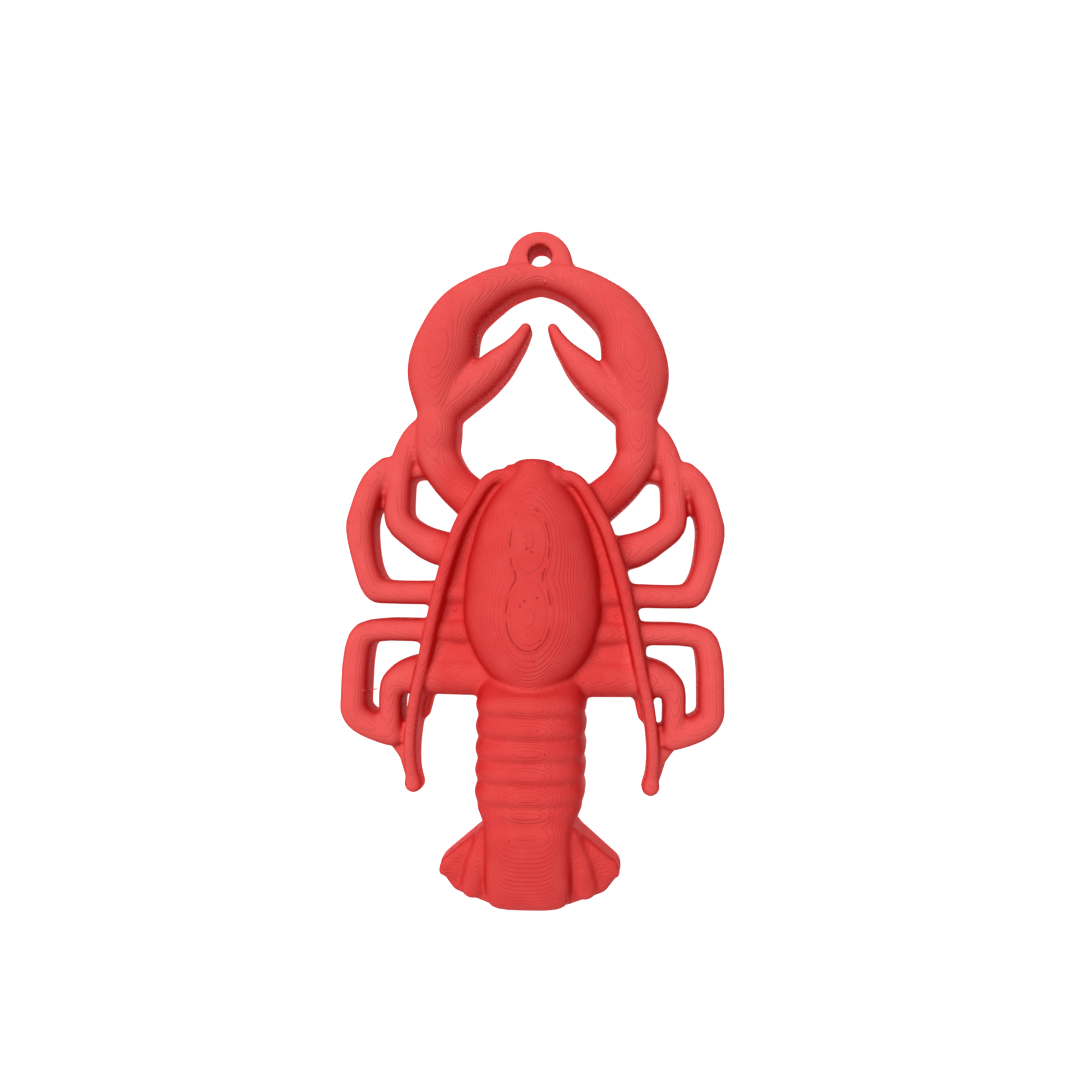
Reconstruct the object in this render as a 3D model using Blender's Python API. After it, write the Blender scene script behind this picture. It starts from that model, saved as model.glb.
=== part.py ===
"""Printed plastic lobster charm: one solid print that lies flat on its underside."""
import math

import bmesh
import bpy
from mathutils import Matrix, Vector

MM = 0.001

# Limbs are chains of posts with domed tops, in millimetres, on the right-hand side.
# Each post is its place across and along the body, its half width and its crown height.
CLAW_FINGER = (
    (14.4, 23.6, 3.2, 6.4),
    (14.4, 27.6, 4.5, 7.0),
    (13.8, 30.7, 4.7, 7.3),
    (12.7, 34.4, 4.0, 7.0),
    (11.5, 36.6, 3.6, 6.8),
    (9.9, 38.2, 3.3, 6.6),
    (7.2, 40.1, 2.85, 6.2),
    (5.2, 41.2, 2.5, 5.8),
    (2.8, 42.0, 2.2, 5.4),
    (0.0, 42.5, 1.95, 5.2),
)
CLAW_THUMB = (
    (1.95, 35.05, 0.8, 3.6),
    (2.9, 33.2, 1.1, 4.4),
    (4.3, 31.35, 1.5, 5.0),
    (5.95, 29.6, 2.1, 5.5),
    (8.3, 27.4, 2.5, 5.8),
    (11.2, 25.15, 2.7, 6.0),
    (13.2, 23.4, 2.6, 6.0),
)
ARM = (
    (14.3, 22.2, 3.0, 6.2),
    (14.4, 19.5, 3.1, 6.6),
    (14.45, 16.5, 3.05, 6.2),
    (12.4, 12.9, 2.85, 6.0),
    (9.5, 10.2, 3.0, 6.2),
    (7.0, 8.0, 3.0, 6.4),
)
FRONT_INNER_LEG = (
    (9.5, 2.0, 2.6, 6.2),
    (14.3, 3.1, 2.55, 5.4),
    (17.3, 4.6, 2.15, 5.2),
    (19.75, 6.8, 2.0, 5.2),
    (19.85, 10.5, 1.85, 5.1),
    (19.6, 13.6, 1.85, 5.1),
    (18.9, 16.4, 1.8, 5.0),
    (17.9, 18.7, 1.7, 4.8),
    (17.0, 20.0, 1.5, 4.6),
)
FRONT_OUTER_LEG = (
    (9.5, -3.4, 1.9, 6.7),
    (14.5, -3.5, 1.75, 5.8),
    (21.0, -3.5, 1.75, 5.0),
    (23.0, -2.95, 1.9, 5.0),
    (24.4, 0.3, 1.75, 5.0),
    (25.3, 5.3, 2.05, 5.2),
    (24.9, 8.1, 1.95, 5.1),
    (23.9, 11.3, 1.85, 5.0),
    (22.9, 12.9, 1.8, 5.0),
    (21.5, 14.3, 1.7, 4.8),
)
REAR_OUTER_LEG = (
    (9.5, -8.9, 1.9, 6.7),
    (14.5, -8.95, 1.7, 5.8),
    (23.2, -9.15, 1.7, 5.0),
    (25.35, -11.7, 1.9, 5.0),
    (25.8, -19.0, 1.95, 5.0),
    (25.7, -20.8, 1.95, 5.0),
    (24.6, -22.1, 2.05, 4.9),
    (22.2, -23.3, 2.0, 4.7),
    (20.3, -24.0, 1.9, 4.5),
)
REAR_INNER_LEG = (
    (5.0, -15.1, 3.1, 7.0),
    (13.0, -15.2, 3.0, 6.2),
    (17.0, -15.35, 2.75, 5.8),
    (19.4, -16.2, 2.1, 5.4),
    (20.4, -17.8, 1.7, 5.2),
    (20.45, -23.5, 1.65, 4.6),
)
ANTENNA = (
    (3.4, 13.0, 0.9, 9.0),
    (5.2, 12.8, 0.95, 9.2),
    (6.7, 11.7, 0.95, 9.3),
    (7.95, 9.8, 0.95, 9.3),
    (10.05, 6.05, 0.95, 9.2),
    (11.45, 2.2, 0.95, 8.9),
    (12.6, -1.6, 0.95, 8.5),
    (13.65, -5.9, 0.9, 8.1),
    (14.6, -10.2, 0.9, 7.7),
    (15.45, -14.2, 0.9, 7.3),
    (16.4, -18.2, 0.9, 6.7),
    (16.95, -21.2, 0.9, 6.1),
    (17.35, -24.3, 0.9, 5.3),
    (17.5, -27.0, 0.9, 4.4),
    (17.4, -29.4, 0.95, 3.5),
)
ANTENNA_TIP = (
    (17.35, -29.9, 1.0, 3.3),
    (17.3, -31.4, 1.35, 3.1),
)
# Low webs of plastic fill the corners where limbs meet.
WEBS = (
    ((22.3, 9.4, 1.0, 2.6), (21.7, 14.0, 1.3, 3.4)),
    ((18.9, 14.0, 1.2, 3.6), (16.6, 17.5, 1.4, 3.8), (15.6, 20.2, 1.4, 4.0)),
    ((18.3, 13.7, 0.9, 3.6), (15.6, 14.5, 1.3, 3.8)),
    ((23.0, -22.0, 1.1, 2.8), (20.3, -24.0, 1.5, 2.8), (18.5, -27.2, 1.1, 2.4)),
    ((18.5, -27.2, 1.1, 2.4), (17.7, -29.9, 1.1, 2.2)),
)
WEB_FLARE = ((13.8, -17.3, 0.9, 2.6), (15.4, -17.8, 0.9, 2.6), (16.2, -21.0, 0.95, 2.4))
EYE = ((3.3, 13.9, 0.7, 8.8), (3.3, 13.1, 0.8, 9.4))

# Shell, tail and flanks: place along the body, half width, edge height and crown height.
CARAPACE = (
    (15.3, 2.3, 5.4, 8.8),
    (14.9, 2.9, 5.6, 9.7),
    (13.4, 3.6, 5.8, 10.6),
    (11.6, 4.9, 6.0, 11.3),
    (9.4, 6.4, 6.1, 11.9),
    (6.8, 7.6, 6.2, 12.35),
    (3.8, 8.4, 6.2, 12.5),
    (0.6, 9.15, 6.2, 12.38),
    (-1.3, 9.35, 6.2, 12.24),
    (-3.2, 9.5, 6.2, 12.4),
    (-6.6, 9.6, 6.2, 12.5),
    (-9.4, 9.0, 6.2, 12.4),
    (-11.8, 8.0, 6.2, 12.05),
    (-13.6, 6.9, 6.2, 11.65),
    (-15.2, 5.5, 6.2, 11.1),
    (-16.5, 3.6, 6.2, 10.5),
    (-17.3, 1.9, 6.2, 9.6),
)
FLANK = (
    (13.6, 5.6, 5.4, 7.7),
    (11.4, 7.7, 5.4, 7.9),
    (7.4, 10.2, 5.2, 7.6),
    (1.6, 12.8, 4.6, 6.6),
    (-5.8, 15.05, 4.0, 5.5),
    (-11.8, 16.3, 4.0, 5.5),
    (-16.4, 15.9, 4.0, 5.6),
)
TELSON = (
    (-34.4, 6.4, 4.2, 10.9),
    (-35.4, 6.3, 4.2, 10.7),
    (-36.8, 6.3, 4.4, 10.9),
    (-39.2, 6.2, 4.6, 10.4),
    (-42.0, 6.2, 4.6, 9.6),
    (-45.0, 6.1, 4.4, 8.7),
    (-46.9, 5.8, 4.2, 7.9),
    (-47.8, 5.3, 3.8, 7.0),
    (-48.4, 4.3, 3.0, 5.6),
)
# How full the arched cross sections are: 2 is an ellipse, more is flatter on top.
SHELL_FULLNESS = 2.0
TAIL_FULLNESS = 2.6
SLAB_FULLNESS = 3.5

TAIL_START = -16.0
TAIL_START_CROWN = 10.5
TAIL_FIRST_CREST = -19.05
TAIL_PITCH = 3.07
TAIL_RIDGES = 5
TAIL_STEPS = 8
TAIL_HALF_WIDTH = 7.85
TAIL_EDGE_HEIGHT = 4.2
TAIL_CROWN_FRONT = 12.1
TAIL_CROWN_BACK = 11.5
TAIL_GROOVE_TOP = 0.75
TAIL_GROOVE_SIDE = 0.45
TAIL_WAIST = ((-33.6, 7.45, 4.2, 11.3), (-34.6, 7.0, 4.2, 10.9), (-35.4, 6.85, 4.0, 10.6))

# Tail fan lobes spread from the waist, as chains of posts like the limbs.
FAN_PLATE = (
    (5.2, -36.8, 1.2, 4.6),
    (11.15, -43.0, 2.0, 4.0),
    (9.9, -45.1, 1.7, 4.0),
    (5.2, -46.9, 1.4, 4.6),
)
INNER_FAN_LOBE = ((6.1, -37.2, 1.1, 8.0), (7.4, -41.8, 1.7, 6.9), (8.0, -45.4, 1.9, 5.6))
OUTER_FAN_LOBE = ((7.0, -38.2, 1.1, 6.8), (9.5, -41.3, 1.8, 5.8), (10.8, -43.0, 2.15, 5.0))

# Hang loop at the front, a flat ring with rounded edges.
LOOP_CENTRE_Y = 44.2
HOLE_CENTRE_Y = 45.0
LOOP_OUTER_RADIUS = 4.7
LOOP_HOLE_RADIUS = 1.5
LOOP_THICKNESS = 4.2
LOOP_EDGE_RADIUS = 1.1
LOOP_FOOT_Y = 42.6
LOOP_ARC_POSTS = 12
LOOP_FILLET = ((4.9, 42.9, 1.0, 3.8), (3.9, 44.0, 0.9, 3.9))
HOLE_FLARE = 0.3
HOLE_SIDES = 48

POST_SIDES = 32
DOME_STEPS = 5
DOME_SHARE = 0.62
SECTION_STEPS = 20
CURVE_STEPS = 4
UNDERCUT = 1.2
VOXEL = 0.34
SMOOTH_FACTOR = 0.5
SMOOTH_REPEAT = 4
BED_TOLERANCE = 0.002
TARGET_TRIANGLES = 10800
SHARP_ANGLE = 50.0
RED = (0.76, 0.05, 0.045, 1.0)
ROUGHNESS = 0.55


def clear_scene():
    for old in list(bpy.data.objects):
        bpy.data.objects.remove(old)


def add_post(bm, x, y, half_width, crown):
    """Add the points of a round post whose top is domed."""
    dome = min(half_width, crown * DOME_SHARE)
    levels = [(-UNDERCUT, half_width), (crown - dome, half_width)]
    for step in range(1, DOME_STEPS):
        angle = 0.5 * math.pi * step / DOME_STEPS
        levels.append((crown - dome + dome * math.sin(angle), half_width * math.cos(angle)))
    points = [bm.verts.new((x, y, crown))]
    for height, radius in levels:
        for side in range(POST_SIDES):
            turn = 2.0 * math.pi * side / POST_SIDES
            place = (x + radius * math.cos(turn), y + radius * math.sin(turn), height)
            points.append(bm.verts.new(place))
    return points


def add_hull(bm, posts):
    """Wrap posts in one convex body."""
    points = []
    for post in posts:
        points.extend(add_post(bm, *post))
    result = bmesh.ops.convex_hull(bm, input=points)
    spare = [item for item in result["geom_interior"] if isinstance(item, bmesh.types.BMVert)]
    spare += [item for item in result["geom_unused"] if isinstance(item, bmesh.types.BMVert)]
    bmesh.ops.delete(bm, geom=list(set(spare)), context="VERTS")


def eased(stations, steps=CURVE_STEPS):
    """Read more stations from a smooth curve through the given ones."""
    last = len(stations) - 1
    result = []
    for index in range(last):
        corners = (
            stations[max(index - 1, 0)], stations[index],
            stations[index + 1], stations[min(index + 2, last)],
        )
        for step in range(steps):
            t = step / steps
            result.append(tuple(
                b + 0.5 * t * (c - a + t * (2.0 * a - 5.0 * b + 4.0 * c - d
                                            + t * (3.0 * (b - c) + d - a)))
                for a, b, c, d in zip(*corners)))
    result.append(stations[last])
    return result


def mirrored(post):
    return (-post[0],) + tuple(post[1:])


def add_limb(bm, chain):
    """Join each post of a chain to the next one, on both sides of the body."""
    for first, second in zip(chain, chain[1:]):
        add_hull(bm, (first, second))
        add_hull(bm, (mirrored(first), mirrored(second)))


def section_ring(bm, fullness, y, half_width, edge, crown):
    """Add one cross section: straight sides up to the edge, an arched top above."""
    corners = [(half_width, -UNDERCUT), (half_width, edge)]
    for step in range(1, SECTION_STEPS):
        across = math.cos(math.pi * step / SECTION_STEPS)
        rise = (1.0 - abs(across) ** fullness) ** (1.0 / fullness)
        corners.append((half_width * across, edge + (crown - edge) * rise))
    corners += [(-half_width, edge), (-half_width, -UNDERCUT)]
    verts = [bm.verts.new((x, y, z)) for x, z in corners]
    return [bm.edges.new((verts[i - 1], verts[i])) for i in range(len(verts))]


def add_loft(bm, stations, fullness):
    """Bridge cross sections into one closed body."""
    rings = [section_ring(bm, fullness, *station) for station in stations]
    for front, back in zip(rings, rings[1:]):
        bmesh.ops.bridge_loops(bm, edges=front + back)
    bmesh.ops.contextual_create(bm, geom=rings[0])
    bmesh.ops.contextual_create(bm, geom=rings[-1])


def tail_stations():
    """Cross sections of the ridged tail: round crests with narrow grooves between."""
    stations = [(TAIL_START, TAIL_HALF_WIDTH - TAIL_GROOVE_SIDE, TAIL_EDGE_HEIGHT, TAIL_START_CROWN)]
    count = TAIL_RIDGES * TAIL_STEPS
    for step in range(count + 1):
        phase = step / TAIL_STEPS - 0.5
        dip = 1.0 - abs(math.cos(math.pi * phase))
        share = step / count
        crown = TAIL_CROWN_FRONT + (TAIL_CROWN_BACK - TAIL_CROWN_FRONT) * share
        stations.append((
            TAIL_FIRST_CREST - phase * TAIL_PITCH,
            TAIL_HALF_WIDTH - TAIL_GROOVE_SIDE * dip,
            TAIL_EDGE_HEIGHT,
            crown - TAIL_GROOVE_TOP * dip,
        ))
    return stations + list(TAIL_WAIST)


def add_loop(bm):
    """Wrap the loop's plate round an arc of posts, with a foot in the claws."""
    edge = LOOP_EDGE_RADIUS
    reach = LOOP_OUTER_RADIUS - edge
    posts = [(reach, LOOP_FOOT_Y, edge, LOOP_THICKNESS), (-reach, LOOP_FOOT_Y, edge, LOOP_THICKNESS)]
    for step in range(LOOP_ARC_POSTS + 1):
        angle = math.pi * step / LOOP_ARC_POSTS
        x = reach * math.cos(angle)
        y = LOOP_CENTRE_Y + reach * math.sin(angle)
        posts.append((x, y, edge, LOOP_THICKNESS))
    add_hull(bm, posts)


def hole_cutter():
    """Turn the tool that bores the loop's hole and flares its rim."""
    bore = LOOP_HOLE_RADIUS
    flare = bore + HOLE_FLARE
    top = LOOP_THICKNESS
    bm = bmesh.new()
    ends = ((-2.0 * UNDERCUT, bore), (top - HOLE_FLARE, bore), (top, flare), (2.0 * top, flare))
    rings = []
    for height, radius in ends:
        place = Matrix.Translation((0.0, HOLE_CENTRE_Y, height))
        ring = bmesh.ops.create_circle(bm, segments=HOLE_SIDES, radius=radius, matrix=place)
        edges = {edge for vert in ring["verts"] for edge in vert.link_edges}
        rings.append(list(edges))
    for lower, upper in zip(rings, rings[1:]):
        bmesh.ops.bridge_loops(bm, edges=lower + upper)
    bmesh.ops.contextual_create(bm, geom=rings[0])
    bmesh.ops.contextual_create(bm, geom=rings[-1])
    bmesh.ops.recalc_face_normals(bm, faces=bm.faces[:])
    mesh = bpy.data.meshes.new("hole_cutter")
    bm.to_mesh(mesh)
    bm.free()
    cutter = bpy.data.objects.new("hole_cutter", mesh)
    cutter.hide_render = True
    cutter.display_type = "WIRE"
    bpy.context.scene.collection.objects.link(cutter)
    return cutter


def build_shapes():
    """Gather every overlapping body of the print in one mesh, in millimetres."""
    bm = bmesh.new()
    curved = (
        CLAW_FINGER, CLAW_THUMB, ARM, ANTENNA,
        FRONT_INNER_LEG, FRONT_OUTER_LEG, REAR_OUTER_LEG, REAR_INNER_LEG,
    )
    jointed = (
        ANTENNA_TIP, WEB_FLARE, EYE, INNER_FAN_LOBE, OUTER_FAN_LOBE, LOOP_FILLET,
    ) + WEBS
    for chain in curved:
        add_limb(bm, eased(chain))
    for chain in jointed:
        add_limb(bm, chain)
    add_hull(bm, FAN_PLATE + tuple(mirrored(post) for post in FAN_PLATE))
    add_loft(bm, eased(CARAPACE), SHELL_FULLNESS)
    add_loft(bm, eased(FLANK), SLAB_FULLNESS)
    add_loft(bm, tail_stations(), TAIL_FULLNESS)
    add_loft(bm, eased(TELSON), SLAB_FULLNESS)
    add_loop(bm)
    bmesh.ops.recalc_face_normals(bm, faces=bm.faces[:])
    return bm


def fuse(mesh):
    """Fuse the overlapping bodies into one skin with small fillets at every joint."""
    piece = bpy.data.objects.new("fused", mesh)
    bpy.context.scene.collection.objects.link(piece)
    remesh = piece.modifiers.new("fuse", "REMESH")
    remesh.mode = "VOXEL"
    remesh.voxel_size = VOXEL
    cutter = hole_cutter()
    bore = piece.modifiers.new("loop_hole", "BOOLEAN")
    bore.operation = "DIFFERENCE"
    bore.solver = "EXACT"
    bore.object = cutter
    smooth = piece.modifiers.new("fillets", "SMOOTH")
    smooth.factor = SMOOTH_FACTOR
    smooth.iterations = SMOOTH_REPEAT
    depsgraph = bpy.context.evaluated_depsgraph_get()
    fused = bmesh.new()
    fused.from_object(piece, depsgraph)
    bpy.data.objects.remove(piece)
    bpy.data.objects.remove(cutter)
    return fused


def cut_flat(bm):
    """Cut the underside flat where the print lay on its bed."""
    cut = bmesh.ops.bisect_plane(
        bm, geom=bm.verts[:] + bm.edges[:] + bm.faces[:], dist=0.05 * BED_TOLERANCE,
        plane_co=(0.0, 0.0, 0.0), plane_no=(0.0, 0.0, 1.0), clear_inner=True)
    rim = [item for item in cut["geom_cut"] if isinstance(item, bmesh.types.BMEdge)]
    bmesh.ops.triangle_fill(bm, use_beauty=True, use_dissolve=False, edges=rim)


def thin_out(bm):
    """Reduce the skin to the facets that its curves need."""
    bmesh.ops.triangulate(bm, faces=bm.faces[:])
    mesh = bpy.data.meshes.new("skin")
    bm.to_mesh(mesh)
    mesh_object = bpy.data.objects.new("skin", mesh)
    bpy.context.scene.collection.objects.link(mesh_object)
    reduce = mesh_object.modifiers.new("facets", "DECIMATE")
    reduce.ratio = TARGET_TRIANGLES / len(bm.faces)
    reduce.use_collapse_triangulate = True
    depsgraph = bpy.context.evaluated_depsgraph_get()
    thin = bmesh.new()
    thin.from_object(mesh_object, depsgraph)
    bpy.data.objects.remove(mesh_object)
    return thin


def settle(bm):
    """Put the origin under the middle of the print and turn millimetres into metres."""
    for vert in bm.verts:
        if abs(vert.co.z) < BED_TOLERANCE:
            vert.co.z = 0.0
    low_y = min(vert.co.y for vert in bm.verts)
    high_y = max(vert.co.y for vert in bm.verts)
    low_x = min(vert.co.x for vert in bm.verts)
    high_x = max(vert.co.x for vert in bm.verts)
    middle = Vector((0.5 * (low_x + high_x), 0.5 * (low_y + high_y), 0.0))
    bmesh.ops.translate(bm, vec=-middle, verts=bm.verts[:])
    bmesh.ops.scale(bm, vec=(MM, MM, MM), verts=bm.verts[:])


def red_plastic():
    material = bpy.data.materials.new("red_plastic")
    material.use_nodes = True
    shader = material.node_tree.nodes["Principled BSDF"]
    shader.inputs["Base Color"].default_value = RED
    shader.inputs["Roughness"].default_value = ROUGHNESS
    shader.inputs["Metallic"].default_value = 0.0
    return material


def build():
    clear_scene()
    shapes = build_shapes()
    mesh = bpy.data.meshes.new("shapes")
    shapes.to_mesh(mesh)
    shapes.free()
    skin = fuse(mesh)
    cut_flat(skin)
    thin = thin_out(skin)
    skin.free()
    settle(thin)
    final = bpy.data.meshes.new("lobster")
    thin.to_mesh(final)
    thin.free()
    final.materials.append(red_plastic())
    lobster = bpy.data.objects.new("lobster", final)
    bpy.context.scene.collection.objects.link(lobster)
    final.shade_smooth()
    final.set_sharp_from_angle(angle=math.radians(SHARP_ANGLE))


build()
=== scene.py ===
import math

import bmesh
import bpy
from mathutils import Matrix, Vector
from mathutils.bvhtree import BVHTree


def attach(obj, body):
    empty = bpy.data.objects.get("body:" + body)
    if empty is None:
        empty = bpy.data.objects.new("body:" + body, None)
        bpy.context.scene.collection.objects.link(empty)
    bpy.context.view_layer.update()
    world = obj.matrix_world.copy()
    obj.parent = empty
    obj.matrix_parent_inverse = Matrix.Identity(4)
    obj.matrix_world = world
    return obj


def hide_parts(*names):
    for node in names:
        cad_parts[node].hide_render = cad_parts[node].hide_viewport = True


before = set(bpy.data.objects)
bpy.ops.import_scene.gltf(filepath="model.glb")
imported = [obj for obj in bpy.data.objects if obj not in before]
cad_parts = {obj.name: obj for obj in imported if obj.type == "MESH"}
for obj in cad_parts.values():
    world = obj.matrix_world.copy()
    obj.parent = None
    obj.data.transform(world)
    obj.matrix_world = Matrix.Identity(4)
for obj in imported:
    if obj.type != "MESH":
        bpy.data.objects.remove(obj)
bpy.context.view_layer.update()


# Claws and arms. The two big claws curve inwards until their fingers meet under the
# hang loop; each has a short thumb, and an arm that bends back to the shell. They are
# printed with the rest in red plastic, as chains of round posts with domed tops.

# Every body starts below the bed, by the undercut, and the whole print is cut flat at
# the bed later. A post's domed top takes no more than this share of its height.
UNDERCUT = 1.2
DOME_SHARE = 0.62
POST_SIDES = 32

# Each post is its place across and along the body, its half width and its crown height,
# in millimetres, on the right-hand side.
CLAW_FINGER = (
    (14.4, 23.6, 3.2, 6.4),
    (14.4, 27.6, 4.5, 7.0),
    (13.8, 30.7, 4.7, 7.3),
    (12.7, 34.4, 4.0, 7.0),
    (11.5, 36.6, 3.6, 6.8),
    (9.9, 38.2, 3.3, 6.6),
    (7.2, 40.1, 2.85, 6.2),
    (5.2, 41.2, 2.5, 5.8),
    (2.8, 42.0, 2.2, 5.4),
    (0.0, 42.5, 1.95, 5.2),
)
CLAW_THUMB = (
    (1.95, 35.05, 0.8, 3.6),
    (2.9, 33.2, 1.1, 4.4),
    (4.3, 31.35, 1.5, 5.0),
    (5.95, 29.6, 2.1, 5.5),
    (8.3, 27.4, 2.5, 5.8),
    (11.2, 25.15, 2.7, 6.0),
    (13.2, 23.4, 2.6, 6.0),
)
ARM = (
    (14.3, 22.2, 3.0, 6.2),
    (14.4, 19.5, 3.1, 6.6),
    (14.45, 16.5, 3.05, 6.2),
    (12.4, 12.9, 2.85, 6.0),
    (9.5, 10.2, 3.0, 6.2),
    (7.0, 8.0, 3.0, 6.4),
)


def eased(stations, steps=5):
    """Read more stations from a smooth curve through the given ones."""
    last = len(stations) - 1
    result = []
    for index in range(last):
        corners = (
            stations[max(index - 1, 0)], stations[index],
            stations[index + 1], stations[min(index + 2, last)],
        )
        for step in range(steps):
            t = step / steps
            result.append(tuple(
                b + 0.5 * t * (c - a + t * (2.0 * a - 5.0 * b + 4.0 * c - d
                                            + t * (3.0 * (b - c) + d - a)))
                for a, b, c, d in zip(*corners)))
    result.append(stations[last])
    return result


def absorb(target, bm):
    """Add one body's mesh to the target."""
    mesh = bpy.data.meshes.new("body")
    bm.to_mesh(mesh)
    bm.free()
    target.from_mesh(mesh)
    bpy.data.meshes.remove(mesh)


def wrap(target, posts):
    """Wrap a few domed posts in one convex body and add it to the target."""
    bm = bmesh.new()
    for x, y, half_width, crown in posts:
        dome = min(half_width, crown * DOME_SHARE)
        shoulder = crown - dome
        ball = Matrix.Translation((x, y, shoulder)) @ Matrix.Diagonal((1.0, 1.0, dome / half_width, 1.0))
        bmesh.ops.create_uvsphere(
            bm, u_segments=POST_SIDES, v_segments=POST_SIDES // 2, radius=half_width, matrix=ball)
        stem = Matrix.Translation((x, y, 0.5 * (shoulder - UNDERCUT)))
        bmesh.ops.create_cone(
            bm, segments=POST_SIDES, radius1=half_width, radius2=half_width,
            depth=shoulder + UNDERCUT, matrix=stem)
    bmesh.ops.delete(bm, geom=bm.edges[:] + bm.faces[:], context="EDGES_FACES")
    hull = bmesh.ops.convex_hull(bm, input=bm.verts[:])
    spare = hull["geom_interior"] + hull["geom_unused"]
    spare = {item for item in spare if isinstance(item, bmesh.types.BMVert)}
    bmesh.ops.delete(bm, geom=list(spare), context="VERTS")
    absorb(target, bm)


def add_limb(target, chain):
    """Join each post of a chain to the next one."""
    for first, second in zip(chain, chain[1:]):
        wrap(target, (first, second))


right_side = bmesh.new()
add_limb(right_side, eased(CLAW_FINGER))
add_limb(right_side, eased(CLAW_THUMB))
add_limb(right_side, eased(ARM))


# Walking legs. Four bent legs stand out on each side, and where two of them meet a
# low web of plastic fills the corner. They are printed in one with the shell.

FRONT_INNER_LEG = (
    (9.5, 2.0, 2.6, 6.2),
    (14.3, 3.1, 2.55, 5.4),
    (17.3, 4.6, 2.15, 5.2),
    (19.75, 6.8, 2.0, 5.2),
    (19.85, 10.5, 1.85, 5.1),
    (19.6, 13.6, 1.85, 5.1),
    (18.9, 16.4, 1.8, 5.0),
    (17.9, 18.7, 1.7, 4.8),
    (17.0, 20.0, 1.5, 4.6),
)
FRONT_OUTER_LEG = (
    (9.5, -3.4, 1.9, 6.7),
    (14.5, -3.5, 1.75, 5.8),
    (21.0, -3.5, 1.75, 5.0),
    (23.0, -2.95, 1.9, 5.0),
    (24.4, 0.3, 1.75, 5.0),
    (25.3, 5.3, 2.05, 5.2),
    (24.9, 8.1, 1.95, 5.1),
    (23.9, 11.3, 1.85, 5.0),
    (22.9, 12.9, 1.8, 5.0),
    (21.5, 14.3, 1.7, 4.8),
)
REAR_OUTER_LEG = (
    (9.5, -8.9, 1.9, 6.7),
    (14.5, -8.95, 1.7, 5.8),
    (23.2, -9.15, 1.7, 5.0),
    (25.35, -11.7, 1.9, 5.0),
    (25.8, -19.0, 1.95, 5.0),
    (25.7, -20.8, 1.95, 5.0),
    (24.6, -22.1, 2.05, 4.9),
    (22.2, -23.3, 2.0, 4.7),
    (20.3, -24.0, 1.9, 4.5),
)
REAR_INNER_LEG = (
    (5.0, -15.1, 3.1, 7.0),
    (13.0, -15.2, 3.0, 6.2),
    (17.0, -15.35, 2.75, 5.8),
    (19.4, -16.2, 2.1, 5.4),
    (20.4, -17.8, 1.7, 5.2),
    (20.45, -23.5, 1.65, 4.6),
)
LEG_WEBS = (
    ((22.3, 9.4, 1.0, 2.6), (21.7, 14.0, 1.3, 3.4)),
    ((18.9, 14.0, 1.2, 3.6), (16.6, 17.5, 1.4, 3.8), (15.6, 20.2, 1.4, 4.0)),
    ((18.3, 13.7, 0.9, 3.6), (15.6, 14.5, 1.3, 3.8)),
    ((23.0, -22.0, 1.1, 2.8), (20.3, -24.0, 1.5, 2.8), (18.5, -27.2, 1.1, 2.4)),
    ((13.8, -17.3, 0.9, 2.6), (15.4, -17.8, 0.9, 2.6), (16.2, -21.0, 0.95, 2.4)),
)

for leg in (FRONT_INNER_LEG, FRONT_OUTER_LEG, REAR_OUTER_LEG, REAR_INNER_LEG):
    add_limb(right_side, eased(leg, 3))
for web in LEG_WEBS:
    add_limb(right_side, web)


# Antennae and eyes. Two thin antennae sweep back from the head over the legs and end
# in small round tips; the eyes are two low bumps beside the beak. Printed in one.

ANTENNA = (
    (3.4, 13.0, 0.9, 9.0),
    (5.2, 12.8, 0.95, 9.2),
    (6.7, 11.7, 0.95, 9.3),
    (7.95, 9.8, 0.95, 9.3),
    (10.05, 6.05, 0.95, 9.2),
    (11.45, 2.2, 0.95, 8.9),
    (12.6, -1.6, 0.95, 8.5),
    (13.65, -5.9, 0.9, 8.1),
    (14.6, -10.2, 0.9, 7.7),
    (15.45, -14.2, 0.9, 7.3),
    (16.4, -18.2, 0.9, 6.7),
    (16.95, -21.2, 0.9, 6.1),
    (17.35, -24.3, 0.9, 5.3),
    (17.5, -27.0, 0.9, 4.4),
    (17.4, -29.4, 0.95, 3.5),
)
ANTENNA_TIP = (
    (17.35, -29.9, 1.0, 3.3),
    (17.3, -31.4, 1.35, 3.1),
)
ANTENNA_WEB = ((18.5, -27.2, 1.1, 2.4), (17.7, -29.9, 1.1, 2.2))
EYE = ((3.3, 13.9, 0.7, 8.8), (3.3, 13.1, 0.8, 9.4))

add_limb(right_side, eased(ANTENNA))
for chain in (ANTENNA_TIP, ANTENNA_WEB, EYE):
    add_limb(right_side, chain)


# Tail fan lobes. Two rounded lobes on each side lean out from the waist over a thin
# plate, on both sides of the broad middle flap. Printed in one with the tail.

FAN_PLATE = (
    (5.2, -36.8, 1.2, 4.6),
    (11.15, -43.0, 2.0, 4.0),
    (9.9, -45.1, 1.7, 4.0),
    (5.2, -46.9, 1.4, 4.6),
)
INNER_FAN_LOBE = ((6.1, -37.2, 1.1, 8.0), (7.4, -41.8, 1.7, 6.9), (8.0, -45.4, 1.9, 5.6))
OUTER_FAN_LOBE = ((7.0, -38.2, 1.1, 6.6), (9.5, -41.3, 1.8, 5.4), (10.8, -43.0, 2.15, 4.8))
FAN_RIM = (
    (6.0, -36.95, 0.75, 6.6),
    (9.0, -39.6, 0.8, 6.0),
    (11.8, -42.05, 0.85, 5.2),
    (12.2, -43.3, 0.85, 4.8),
)

for lobe in (INNER_FAN_LOBE, OUTER_FAN_LOBE, FAN_RIM):
    add_limb(right_side, lobe)


# Hang loop. A flat ring with rounded edges stands on the two claw tips, and a cord or
# split ring goes through its hole. It is printed with the claws; the hole is flared.

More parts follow.
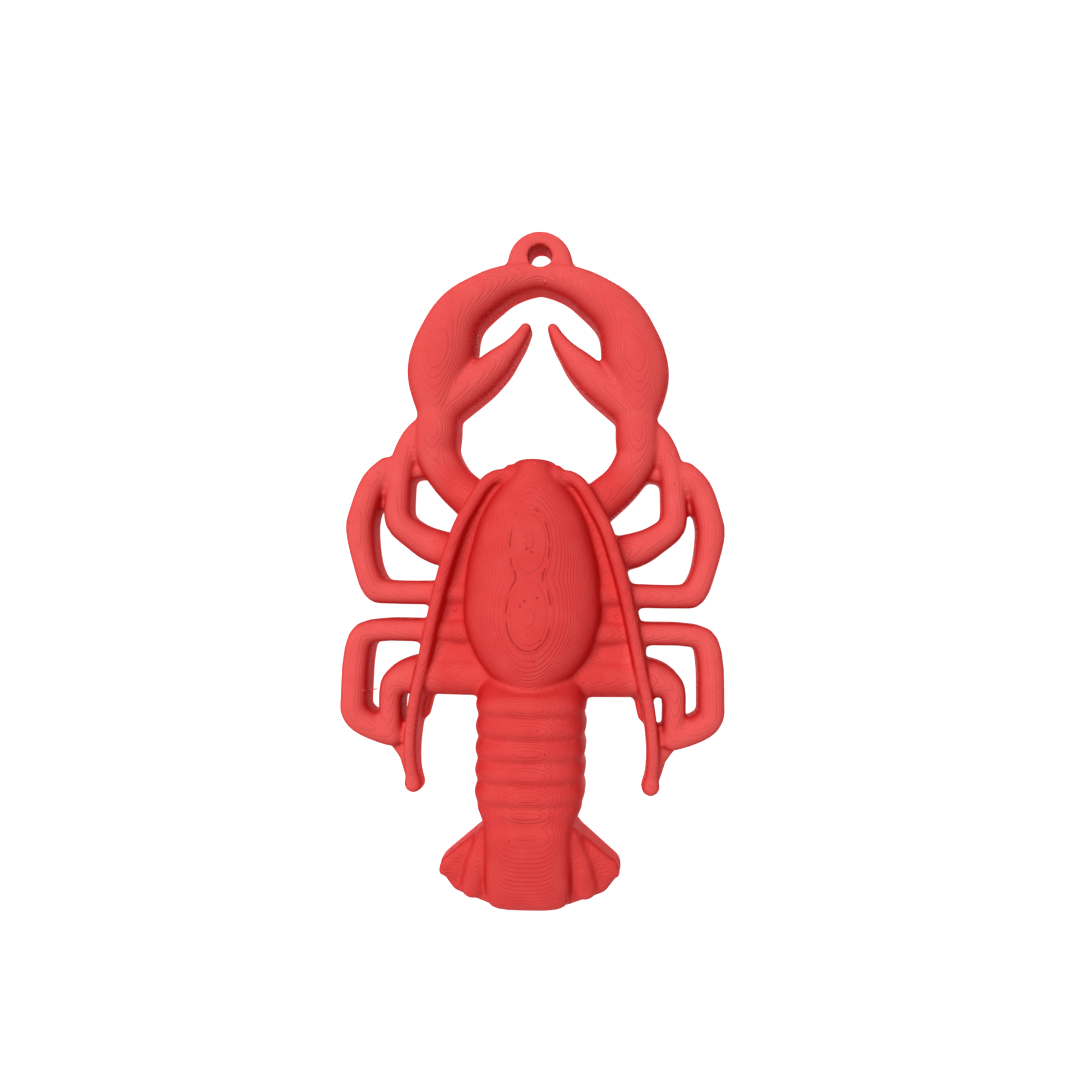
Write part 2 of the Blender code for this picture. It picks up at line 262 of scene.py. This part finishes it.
LOOP_CENTRE_Y = 44.2
LOOP_OUTER_RADIUS = 4.7
LOOP_THICKNESS = 4.2
LOOP_EDGE_RADIUS = 1.1
LOOP_FOOT_Y = 42.6
LOOP_STEPS = 16
LOOP_FILLET = ((4.9, 42.9, 1.0, 3.8), (3.9, 44.0, 0.9, 3.9))
HOLE_CENTRE_Y = 45.0
HOLE_RADIUS = 1.5
HOLE_FLARE = 0.3
HOLE_SIDES = 64

add_limb(right_side, LOOP_FILLET)
bmesh.ops.mirror(right_side, geom=right_side.verts[:] + right_side.edges[:] + right_side.faces[:],
                 axis="X", merge_dist=-1.0)
shapes = right_side
wrap(shapes, FAN_PLATE + tuple((-post[0],) + post[1:] for post in FAN_PLATE))
reach = LOOP_OUTER_RADIUS - LOOP_EDGE_RADIUS
loop_posts = [(reach, LOOP_FOOT_Y), (-reach, LOOP_FOOT_Y)]
for step in range(LOOP_STEPS + 1):
    turn = math.pi * step / LOOP_STEPS
    loop_posts.append((reach * math.cos(turn), LOOP_CENTRE_Y + reach * math.sin(turn)))
wrap(shapes, [(x, y, LOOP_EDGE_RADIUS, LOOP_THICKNESS) for x, y in loop_posts])

hole = bmesh.new()
hole_rings = []
for height, radius in (
        (-2.0 * UNDERCUT, HOLE_RADIUS),
        (LOOP_THICKNESS - HOLE_FLARE, HOLE_RADIUS),
        (LOOP_THICKNESS, HOLE_RADIUS + HOLE_FLARE),
        (2.0 * LOOP_THICKNESS, HOLE_RADIUS + HOLE_FLARE)):
    place = Matrix.Translation((0.0, HOLE_CENTRE_Y, height))
    ring = bmesh.ops.create_circle(hole, segments=HOLE_SIDES, radius=radius, matrix=place)
    hole_rings.append(list({edge for vert in ring["verts"] for edge in vert.link_edges}))
for lower, upper in zip(hole_rings, hole_rings[1:]):
    bmesh.ops.bridge_loops(hole, edges=lower + upper)
bmesh.ops.contextual_create(hole, geom=hole_rings[0])
bmesh.ops.contextual_create(hole, geom=hole_rings[-1])
bmesh.ops.recalc_face_normals(hole, faces=hole.faces[:])
hole_mesh = bpy.data.meshes.new("loop_hole")
hole.to_mesh(hole_mesh)
hole.free()
hole_cutter = bpy.data.objects.new("loop_hole", hole_mesh)
bpy.context.scene.collection.objects.link(hole_cutter)


# Shell and flanks. The long egg-shaped shell has a shallow neck groove across its
# middle, and a lower flank carries the legs. Printed in layers over sparse infill.

# How full a cross section is: 2 is an ellipse, more is boxier, and 1 is a plain gable.
SHELL_FULLNESS = 2.0
SLAB_FULLNESS = 3.5
FOOT_FULLNESS = 1.0
SECTION_SIDES = 72
TOUCH = 0.001

# Each station is its place along the body, half width, edge height and crown height.
CARAPACE = (
    (15.3, 2.3, 5.4, 8.8),
    (14.9, 2.9, 5.6, 9.7),
    (13.4, 3.6, 5.8, 10.6),
    (11.6, 4.9, 6.0, 11.3),
    (9.4, 6.4, 6.1, 11.9),
    (6.8, 7.6, 6.2, 12.35),
    (3.8, 8.4, 6.2, 12.5),
    (0.6, 9.15, 6.2, 12.38),
    (-1.3, 9.35, 6.2, 12.24),
    (-3.2, 9.5, 6.2, 12.4),
    (-6.6, 9.6, 6.2, 12.5),
    (-9.4, 9.0, 6.2, 12.4),
    (-11.8, 8.0, 6.2, 12.05),
    (-13.6, 6.9, 6.2, 11.65),
    (-15.2, 5.5, 6.2, 11.1),
    (-16.5, 3.6, 6.2, 10.5),
    (-17.3, 1.9, 6.2, 9.6),
)
FLANK = (
    (13.6, 5.6, 5.4, 7.7),
    (11.4, 7.7, 5.4, 7.9),
    (7.4, 10.2, 5.2, 7.6),
    (1.6, 12.8, 4.6, 6.6),
    (-5.8, 15.05, 4.0, 5.5),
    (-11.8, 16.3, 4.0, 5.5),
    (-16.4, 15.9, 4.0, 5.6),
)
SHELL_FOOT = (
    (7.4, 8.6, 5.4, 11.4),
    (1.6, 10.5, 5.2, 12.0),
    (-3.2, 11.3, 4.8, 12.1),
    (-6.6, 11.4, 4.7, 12.1),
    (-9.4, 10.9, 4.7, 11.9),
    (-11.8, 10.0, 4.7, 11.5),
    (-14.4, 8.9, 4.7, 10.9),
    (-17.0, 7.6, 4.7, 10.0),
)


def add_loft(target, stations, fullness):
    """Bridge arched cross sections into one closed body and add it to the target."""
    bm = bmesh.new()
    rings = []
    for y, half_width, edge, crown in stations:
        across = Matrix.Translation((0.0, y, edge)) @ Matrix.Rotation(0.5 * math.pi, 4, "X")
        ring = bmesh.ops.create_circle(
            bm, segments=SECTION_SIDES, radius=half_width, matrix=across)
        for vert in ring["verts"]:
            share = min(abs(vert.co.x) / half_width, 1.0)
            if vert.co.z < edge - TOUCH:
                vert.co.z = -UNDERCUT
            else:
                vert.co.z = edge + (crown - edge) * (1.0 - share ** fullness) ** (1.0 / fullness)
        rings.append(list({rim for vert in ring["verts"] for rim in vert.link_edges}))
    for front, back in zip(rings, rings[1:]):
        bmesh.ops.bridge_loops(bm, edges=front + back)
    bmesh.ops.contextual_create(bm, geom=rings[0])
    bmesh.ops.contextual_create(bm, geom=rings[-1])
    absorb(target, bm)


add_loft(shapes, eased(CARAPACE), SHELL_FULLNESS)
add_loft(shapes, eased(FLANK), SLAB_FULLNESS)
add_loft(shapes, eased(SHELL_FOOT), FOOT_FULLNESS)


# Ridged tail and middle flap. Five round bands cross the tail, with narrow grooves
# between, and it narrows to a waist before the broad flap. Printed in one.

SHOULDERS = (
    (-12.2, 5.4, 4.2, 5.6),
    (-13.6, 6.2, 4.2, 6.8),
    (-14.9, 6.8, 4.2, 8.0),
    (-16.1, 7.2, 4.2, 9.4),
    (-16.9, 7.4, 4.2, 10.5),
)
FIRST_CREST = -19.05
PITCH = 3.07
BANDS = 5
BAND_STEPS = 12
TAIL_FULLNESS = 2.6
TAIL_HALF_WIDTH = 7.85
TAIL_EDGE = 4.2
TAIL_CROWN_FRONT = 12.1
TAIL_CROWN_BACK = 11.5
GROOVE_TOP = 0.75
GROOVE_SIDE = 0.45
WAIST = ((-33.6, 7.45, 4.2, 11.3), (-34.6, 7.0, 4.2, 10.9), (-35.4, 6.85, 4.0, 10.6))
MIDDLE_FLAP = (
    (-34.4, 6.4, 4.2, 10.9),
    (-35.4, 6.3, 4.2, 10.7),
    (-36.8, 6.3, 4.4, 10.9),
    (-39.2, 6.2, 4.6, 10.4),
    (-42.0, 6.2, 4.6, 9.6),
    (-45.0, 6.1, 4.4, 8.7),
    (-46.9, 5.8, 4.2, 7.9),
    (-47.8, 5.3, 3.8, 7.0),
    (-48.4, 4.3, 3.0, 5.6),
)

tail = list(SHOULDERS)
for step in range(BANDS * BAND_STEPS + 1):
    phase = step / BAND_STEPS - 0.5
    dip = 1.0 - abs(math.cos(math.pi * phase))
    crown = TAIL_CROWN_FRONT + (TAIL_CROWN_BACK - TAIL_CROWN_FRONT) * step / (BANDS * BAND_STEPS)
    tail.append((
        FIRST_CREST - phase * PITCH,
        TAIL_HALF_WIDTH - GROOVE_SIDE * dip,
        TAIL_EDGE,
        crown - GROOVE_TOP * dip,
    ))
add_loft(shapes, tail + list(WAIST), TAIL_FULLNESS)
add_loft(shapes, eased(MIDDLE_FLAP), SLAB_FULLNESS)


# The whole print. Every part above is one piece of matt red plastic, printed belly down
# in 0.2 mm layers, so it is fused to one skin and cut flat underneath.

MM = 0.001
FILLET_STRENGTH = 0.5
FILLET_ROUNDS = 7
SHARP_ANGLE = math.radians(50.0)
VOXEL = 0.32

bmesh.ops.recalc_face_normals(shapes, faces=shapes.faces[:])
shapes_mesh = bpy.data.meshes.new("shapes")
shapes.to_mesh(shapes_mesh)
shapes.free()
fused = bpy.data.objects.new("fused", shapes_mesh)
bpy.context.scene.collection.objects.link(fused)
fuse = fused.modifiers.new("fuse", "REMESH")
fuse.mode = "VOXEL"
fuse.voxel_size = VOXEL
bore = fused.modifiers.new("bore", "BOOLEAN")
bore.operation = "DIFFERENCE"
bore.solver = "EXACT"
bore.object = hole_cutter
fillets = fused.modifiers.new("fillets", "SMOOTH")
fillets.factor = FILLET_STRENGTH
fillets.iterations = FILLET_ROUNDS
print_skin = bmesh.new()
print_skin.from_object(fused, bpy.context.evaluated_depsgraph_get())
bpy.data.objects.remove(fused)
bpy.data.objects.remove(hole_cutter)

bed = bmesh.ops.bisect_plane(
    print_skin, geom=print_skin.verts[:] + print_skin.edges[:] + print_skin.faces[:],
    dist=0.1 * TOUCH, plane_co=(0.0, 0.0, 0.0), plane_no=(0.0, 0.0, 1.0), clear_inner=True)
rim = [item for item in bed["geom_cut"] if isinstance(item, bmesh.types.BMEdge)]
bmesh.ops.triangle_fill(print_skin, use_beauty=True, use_dissolve=False, edges=rim)
corners = [vert.co for vert in print_skin.verts]
middle_x = 0.5 * (min(co.x for co in corners) + max(co.x for co in corners))
middle_y = 0.5 * (min(co.y for co in corners) + max(co.y for co in corners))
bmesh.ops.translate(print_skin, vec=(-middle_x, -middle_y, 0.0), verts=print_skin.verts[:])
bmesh.ops.scale(print_skin, vec=(MM, MM, MM), verts=print_skin.verts[:])
print_mesh = bpy.data.meshes.new("lobster_print")
print_skin.to_mesh(print_mesh)
print_skin.free()
lobster_print = bpy.data.objects.new("lobster_print", print_mesh)
bpy.context.scene.collection.objects.link(lobster_print)
print_mesh.shade_smooth()
print_mesh.set_sharp_from_angle(angle=SHARP_ANGLE)


class Flow:
    """One value on its way through a material's nodes."""

    def __init__(self, tree, socket=None):
        self.tree = tree
        self.socket = socket

    def node(self, kind, settings, inputs, output=0):
        """Add a node: its settings first, then the values or links of its sockets."""
        made = self.tree.nodes.new(kind)
        for name, value in settings.items():
            setattr(made, name, value)
        for name, value in inputs.items():
            if isinstance(value, Flow):
                self.tree.links.new(value.socket, made.inputs[name])
            else:
                made.inputs[name].default_value = value
        return Flow(self.tree, made.outputs[output])

    def maths(self, operation, *values):
        return self.node("ShaderNodeMath", {"operation": operation}, dict(enumerate(values)))

    def __add__(self, other):
        return self.maths("ADD", self, other)

    def __radd__(self, other):
        return self.maths("ADD", other, self)

    def __sub__(self, other):
        return self.maths("SUBTRACT", self, other)

    def __rsub__(self, other):
        return self.maths("SUBTRACT", other, self)

    def __mul__(self, other):
        return self.maths("MULTIPLY", self, other)

    def __rmul__(self, other):
        return self.maths("MULTIPLY", other, self)

    def __truediv__(self, other):
        return self.maths("DIVIDE", self, other)

    def __rtruediv__(self, other):
        return self.maths("DIVIDE", other, self)

    def __pow__(self, other):
        return self.maths("POWER", self, other)

    def between(self, low, high):
        """0 below low, 1 above high, eased between."""
        return self.node(
            "ShaderNodeMapRange", {"interpolation_type": "SMOOTHSTEP"},
            {"Value": self, "From Min": low, "From Max": high})


# The layers, their rounded edges, the first wall line, the lines of the top skin and the
# depths of the fine relief, in millimetres. The phase is where the first layer ends.
LAYER = 0.2
LAYER_PHASE = 0.65
BEAD_EDGE = 0.13
STEP_SHARE = 0.42
WALL_LINE = 0.42
WALL_GROOVE = 0.035
SKIN_LINE = 0.45
SKIN_RELIEF = 0.004
GRAIN_RELIEF = 0.02
FLAW_DEPTH = 0.07
# The plastic's own red, a painted shade red for step feet, gaps and pinholes, and a pale red for specks
# and the painted sheen.
PLASTIC_RED = (0.685, 0.014, 0.015, 1.0)
PAINTED_SHADE_RED = (0.32, 0.008, 0.008, 1.0)
PALE_AND_SHEEN_RED = (0.92, 0.135, 0.126, 1.0)

plastic = bpy.data.materials.new("printed_red_plastic")
plastic.use_nodes = True
start = Flow(plastic.node_tree)
place = start.node("ShaderNodeTexCoord", {}, {}, "Object")
place = start.node(
    "ShaderNodeVectorMath", {"operation": "SCALE"}, {0: place, "Scale": 1.0 / MM})
x = start.node("ShaderNodeSeparateXYZ", {}, {0: place}, "X")
y = start.node("ShaderNodeSeparateXYZ", {}, {0: place}, "Y")
z = start.node("ShaderNodeSeparateXYZ", {}, {0: place}, "Z")
facing = start.node("ShaderNodeNewGeometry", {}, {}, "Normal")
rise = start.node("ShaderNodeSeparateXYZ", {}, {0: facing}, "Z")


def mottle(scale, detail):
    """Soft noise over the print; its patches are about one over scale in millimetres."""
    inputs = {"Vector": place, "Scale": scale, "Detail": detail}
    return start.node("ShaderNodeTexNoise", {}, inputs, 0)


# Steps between layers: flat treads with rounded bead edges, and grooves on the walls.
wobble = (mottle(0.55, 2.0) - 0.5) * 0.035 + (mottle(3.0, 1.0) - 0.5) * 0.012
step = start.maths("FRACT", (z + wobble) / LAYER + LAYER_PHASE)
upward = start.maths("MAXIMUM", rise, 0.3)
slope = start.maths("SQRT", start.maths("MAXIMUM", 1.0 - rise * rise, 0.0004))
tread = LAYER * upward / slope
edge_share = start.maths("MINIMUM", BEAD_EDGE / tread, 0.9)
across_edge = start.maths("MINIMUM", step / edge_share, 1.0)
drop = 1.0 - start.maths("SQRT", start.maths("MAXIMUM", 1.0 - (1.0 - across_edge) ** 2.0, 0.0))
shell_top = z.between(8.0, 10.5)
patchy = 0.65 + mottle(0.22, 2.0).between(0.38, 0.62) * 0.35
share = STEP_SHARE * (0.8 + shell_top * 0.2) * patchy
tread_height = (0.5 - step - drop) * LAYER * share / upward
wall_height = start.maths("ABSOLUTE", 2.0 * step - 1.0) ** 3.0 * -WALL_GROOVE
gentle = rise.between(0.18, 0.5)
height = wall_height + (tread_height - wall_height) * gentle

# Gaps between the outer wall lines and the top skin, and pinholes, on broad treads only; they are dented
# in the relief and darkened with painted shade below.
inward = step * tread
broad = tread.between(0.6, 0.85)
second_layer = z.between(12.04, 12.08) * (1.0 - z.between(12.26, 12.3)) * y.between(-14.0, -13.0)
dashes = mottle(0.4, 3.0).between(0.42, 0.52) * second_layer
line = 1.0 - start.maths("ABSOLUTE", inward - WALL_LINE).between(0.08, 0.16)
dots = start.node(
    "ShaderNodeTexVoronoi", {"feature": "F1"}, {"Vector": place, "Scale": 0.8}, "Distance")
pinholes = (1.0 - dots.between(0.07, 0.16)) * inward.between(0.5, 0.7)
dark = start.maths("MAXIMUM", line * dashes, pinholes) * broad * (0.3 + shell_top * 0.7)

# The top skin is laid in fine diagonal lines; the bed side is smooth.
skin = start.maths("SINE", (x + y) * (2.0 * math.pi / (SKIN_LINE * math.sqrt(2.0)))) * broad
bed_side = 1.0 - rise.between(-0.9, -0.7)
grain = mottle(9.0, 2.0) - 0.5
relief = height * (1.0 - bed_side) + skin * SKIN_RELIEF + grain * GRAIN_RELIEF
relief = relief - dark * FLAW_DEPTH
bump = start.node(
    "ShaderNodeBump", {}, {"Strength": 1.0, "Distance": MM, "Height": relief}, "Normal")

# Painted sheen and painted light: up-facing surfaces are painted paler as a painted sheen, and thin low
# limbs paler still as painted light from the floor below; a random paler mottle on the tops and a few
# paler specks are the plastic's own tone.
limbs = start.maths("MAXIMUM", start.maths("ABSOLUTE", x).between(12.0, 15.0), y.between(13.0, 16.0))
painted_floor_light = (1.0 - z.between(5.0, 9.0)) * limbs
specks = start.node(
    "ShaderNodeTexVoronoi", {"feature": "F1"}, {"Vector": place, "Scale": 0.42}, "Distance")
pale_tone_and_sheen = mottle(0.35, 3.0).between(0.35, 0.8) * 0.12 + mottle(2.2, 2.0).between(0.55, 0.8) * 0.08
pale_tone_and_sheen = (pale_tone_and_sheen + 0.34 + painted_floor_light * 0.34) * rise.between(0.3, 0.92)
pale_tone_and_sheen = start.maths("MINIMUM", pale_tone_and_sheen + (1.0 - specks.between(0.03, 0.07)) * 0.4, 1.0)
colour_with_painted_light = start.node(
    "ShaderNodeMix", {"data_type": "RGBA"},
    {"Factor": pale_tone_and_sheen, 6: PLASTIC_RED, 7: PALE_AND_SHEEN_RED}, 2)
# Painted shade: the foot of each step on narrow treads is darkened a little, and the gaps and pinholes
# more, towards the painted shade red.
step_foot_shade = step.between(0.72, 1.0) * (1.0 - broad) * gentle
shade = start.maths("MINIMUM", step_foot_shade * 0.12 * patchy + dark * 0.55, 1.0)
colour_with_painted_light = start.node(
    "ShaderNodeMix", {"data_type": "RGBA"}, {"Factor": shade, 6: colour_with_painted_light, 7: PAINTED_SHADE_RED}, 2)
shader = plastic.node_tree.nodes["Principled BSDF"]
shader.inputs["Specular IOR Level"].default_value = 0.05
plastic.node_tree.links.new(colour_with_painted_light.socket, shader.inputs["Base Color"])
plastic.node_tree.links.new((0.52 + grain * 0.12).socket, shader.inputs["Roughness"])
plastic.node_tree.links.new(bump.socket, shader.inputs["Normal"])
print_mesh.materials.append(plastic)
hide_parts("lobster")
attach(lobster_print, "root")


# Stray plastic. The nozzle left a few small blobs and one short hair on the print,
# where it started and stopped a line. They are of the same plastic, stuck to it.

# Each blob is its place across and along the body and its half width.
BLOBS = (
    (-3.1, 42.4, 0.34),
    (-2.4, 41.9, 0.24),
    (0.9, 40.9, 0.3),
    (4.6, 42.2, 0.26),
    (-17.5, 17.0, 0.3),
    (-22.6, 13.2, 0.26),
    (-26.2, 3.4, 0.24),
    (-14.3, 3.4, 0.26),
    (24.7, -20.9, 0.3),
    (19.8, 12.4, 0.24),
    (8.4, 12.3, 0.3),
    (-11.4, -3.2, 0.26),
    (-11.0, -6.0, 0.5),
    (12.4, -12.4, 0.26),
    (-2.1, -44.2, 0.24),
    (1.2, -44.6, 0.2),
)
BLOB_SINK = 0.35
BLOB_FLATNESS = 0.7

# The hair's points are its place across and along the body and its lift off the skin. It
# sticks out from a leg over the gap beside it, where a height stands in for the skin's.
HAIR = ((-24.4, -17.9, 0.0), (-23.5, -18.0, 0.25), (-22.6, -17.8, 0.1))
HAIR_FOOT_RADIUS = 0.09
HAIR_END_RADIUS = 0.07
HAIR_OVERLAP = 0.08
GAP_HEIGHT = 3.0
HIGH_ABOVE = 100.0

skin_tree = BVHTree.FromObject(lobster_print, bpy.context.evaluated_depsgraph_get())


def skin_height(across, along):
    """How high the print's skin is at a place, in millimetres, or the gap height."""
    above = Vector((across, along, HIGH_ABOVE)) * MM
    hit = skin_tree.ray_cast(above, Vector((0.0, 0.0, -1.0)))
    return hit[0].z / MM if hit[0] else GAP_HEIGHT


stray = bmesh.new()
for across, along, half_width in BLOBS:
    centre_height = skin_height(across, along) - BLOB_SINK * half_width
    sunk = Matrix.Translation((across, along, centre_height))
    flat = sunk @ Matrix.Diagonal((1.0, 1.0, BLOB_FLATNESS, 1.0))
    bmesh.ops.create_uvsphere(stray, u_segments=14, v_segments=8, radius=half_width, matrix=flat)
for (ax, ay, lift), (bx, by, next_lift) in zip(HAIR, HAIR[1:]):
    foot_end = Vector((ax, ay, skin_height(ax, ay) + lift))
    far_end = Vector((bx, by, skin_height(bx, by) + next_lift))
    along_hair = far_end - foot_end
    turn = along_hair.to_track_quat("Z", "Y").to_matrix().to_4x4()
    lay = Matrix.Translation((foot_end + far_end) / 2.0) @ turn
    bmesh.ops.create_cone(
        stray, cap_ends=True, segments=12, radius1=HAIR_FOOT_RADIUS, radius2=HAIR_END_RADIUS,
        depth=along_hair.length + HAIR_OVERLAP, matrix=lay)
bmesh.ops.scale(stray, vec=(MM, MM, MM), verts=stray.verts[:])
bmesh.ops.recalc_face_normals(stray, faces=stray.faces[:])
stray_mesh = bpy.data.meshes.new("stray_plastic")
stray.to_mesh(stray_mesh)
stray.free()
stray_mesh.shade_smooth()
stray_mesh.materials.append(plastic)
stray_plastic = bpy.data.objects.new("stray_plastic", stray_mesh)
bpy.context.scene.collection.objects.link(stray_plastic)
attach(stray_plastic, "root")


# Floor. A plain white table top that the charm lies on; it is no part of the charm.

TABLE_HALF_WIDTH = 0.8
TABLE_GAP = 0.00002

table = bmesh.new()
below = Matrix.Translation((0.0, 0.0, -TABLE_GAP))
bmesh.ops.create_grid(
    table, x_segments=1, y_segments=1, size=TABLE_HALF_WIDTH, matrix=below)
table_mesh = bpy.data.meshes.new("table_top")
table.to_mesh(table_mesh)
table.free()
table_top = bpy.data.objects.new("table_top", table_mesh)
bpy.context.scene.collection.objects.link(table_top)
white = bpy.data.materials.new("white_table")
white.use_nodes = True
paint = white.node_tree.nodes["Principled BSDF"]
paint.inputs["Base Color"].default_value = (0.35, 0.35, 0.35, 1.0)
paint.inputs["Roughness"].default_value = 0.9
paint.inputs["Emission Color"].default_value = (1.0, 1.0, 1.0, 1.0)
paint.inputs["Emission Strength"].default_value = 1.0
table_mesh.materials.append(white)


# Studio light. An even white surround and one soft lamp from the upper left, and the
# camera looks straight down from close by, a little to the right of the charm.

SURROUND_STRENGTH = 0.32
LAMP_STRENGTH = 2.3
LAMP_SOFTNESS = math.radians(40.0)
LAMP_PLACE = (-0.3, 0.2, 0.4)
LAMP_DIRECTION = (-0.26, 0.27, 0.93)
CAMERA_PLACE = (0.0110, -0.0030, 0.1332)
CAMERA_TURN = 0.0171

world = bpy.data.worlds.new("studio")
world.use_nodes = True
surround = world.node_tree.nodes["Background"]
surround.inputs["Color"].default_value = (1.0, 1.0, 1.0, 1.0)
surround.inputs["Strength"].default_value = SURROUND_STRENGTH
bpy.context.scene.world = world
lamp_data = bpy.data.lights.new("soft_lamp", "SUN")
lamp_data.energy = LAMP_STRENGTH
lamp_data.angle = LAMP_SOFTNESS
lamp = bpy.data.objects.new("soft_lamp", lamp_data)
lamp.location = LAMP_PLACE
lamp.rotation_euler = Vector(LAMP_DIRECTION).to_track_quat("Z", "Y").to_euler()
bpy.context.scene.collection.objects.link(lamp)

camera_data = bpy.data.cameras.new("camera")
camera_data.lens = 30.0
camera_data.sensor_width = 36.0
camera_data.shift_x = -0.0655
camera_data.shift_y = 0.0466
camera_data.clip_start = 0.01
camera = bpy.data.objects.new("camera", camera_data)
camera.location = CAMERA_PLACE
camera.rotation_euler = (0.0, 0.0, CAMERA_TURN)
bpy.context.scene.collection.objects.link(camera)
bpy.context.scene.camera = camera
bpy.context.scene.view_settings.view_transform = "Standard"
